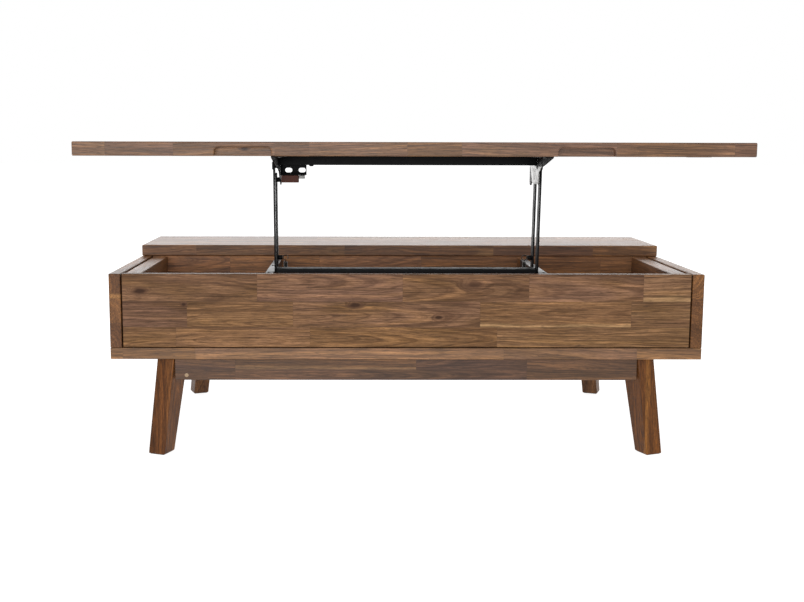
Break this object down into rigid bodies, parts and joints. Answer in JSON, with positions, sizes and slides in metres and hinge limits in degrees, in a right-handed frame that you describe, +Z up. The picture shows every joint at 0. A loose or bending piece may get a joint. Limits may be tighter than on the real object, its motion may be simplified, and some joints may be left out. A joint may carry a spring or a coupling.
{
  "type": "lift top coffee table",
  "caption": "Rectangular wooden coffee table whose front slab lifts and slides forward on a black steel parallel-arm frame, with storage bays and splayed tapered legs.",
  "frame": {"origin": "on the floor, under the middle of the box round the table with its top raised", "axes": "+X to the right of someone facing the front, +Y from front to back, +Z up"},
  "size_m": [1.2, 0.8614, 0.6371],
  "materials": {
    "wood": "matt oiled walnut-brown acacia staves",
    "wood_inside": "matt sealed wood, a little redder",
    "black_steel": "semi-gloss black powder coat",
    "zinc": "bright zinc plate",
    "brown_rubber": "matt red-brown rubber",
    "felt": "dark felt",
    "spring_steel": "dark oiled spring wire"
  },
  "bodies": {
    "base": {"apron_back": "wood", "apron_front": "wood", "apron_left": "wood", "apron_right": "wood", "back_panel": "wood", "base_bracket_left": "black_steel", "base_bracket_right": "black_steel", "base_pivot_front_left": "black_steel", "base_pivot_front_right": "black_steel", "base_pivot_rear_left": "black_steel", "base_pivot_rear_right": "black_steel", "bottom_panel": "wood", "cross_divider": "wood_inside", "divider_left": "wood_inside", "divider_right": "wood_inside", "fixed_top": "wood", "foot_glide_back_left": "felt", "foot_glide_back_right": "felt", "foot_glide_front_left": "felt", "foot_glide_front_right": "felt", "front_panel": "wood", "inner_rail_left": "wood_inside", "inner_rail_right": "wood_inside", "leg_back_left": "wood", "leg_back_right": "wood", "leg_front_left": "wood", "leg_front_right": "wood", "side_panel_left": "wood", "side_panel_right": "wood", "spring_anchor_left": "black_steel", "spring_anchor_right": "black_steel", "spring_lower_left": "spring_steel", "spring_lower_right": "spring_steel"},
    "lid": {"bumper_block": "brown_rubber", "lift_top": "wood", "slotted_bracket": "black_steel", "stop_pad_right": "felt", "top_bracket_left": "black_steel", "top_bracket_right": "black_steel", "top_pivot_rear_left": "black_steel", "top_pivot_rear_right": "black_steel", "upper_cross_bar": "black_steel", "zinc_clip": "zinc", "zinc_plate_right": "zinc"},
    "front_arms": {"front_arm_left": "black_steel", "front_arm_right": "black_steel", "lower_cross_bar": "black_steel", "top_pivot_front_left": "black_steel", "top_pivot_front_right": "black_steel"},
    "rear_arm_left": {"rear_arm_left": "black_steel", "spring_tab_left": "black_steel", "spring_upper_left": "spring_steel"},
    "rear_arm_right": {"rear_arm_right": "black_steel", "spring_tab_right": "black_steel", "spring_upper_right": "spring_steel"}
  },
  "joints": [
    {"name": "lift", "type": "hinge", "parent": "base", "child": "front_arms", "pos_m": [0, -0.13009, 0.355], "axis": [-1, 0, 0], "range_deg": [0, 95.4]},
    {"name": "lid_level", "type": "hinge", "parent": "front_arms", "child": "lid", "pos_m": [0, -0.15024, 0.59005], "axis": [-1, 0, 0], "range_deg": [-95.4, 0]},
    {"name": "rear_swing_left", "type": "hinge", "parent": "base", "child": "rear_arm_left", "pos_m": [0, -0.06809, 0.325], "axis": [-1, 0, 0], "range_deg": [0, 95.4]},
    {"name": "rear_swing_right", "type": "hinge", "parent": "base", "child": "rear_arm_right", "pos_m": [0, -0.06809, 0.325], "axis": [-1, 0, 0], "range_deg": [0, 95.4]}
  ],
  "couplings": [
    {"joint": "lid_level", "follows": "lift", "ratio": -1},
    {"joint": "rear_swing_left", "follows": "lift", "ratio": 1},
    {"joint": "rear_swing_right", "follows": "lift", "ratio": 1}
  ]
}
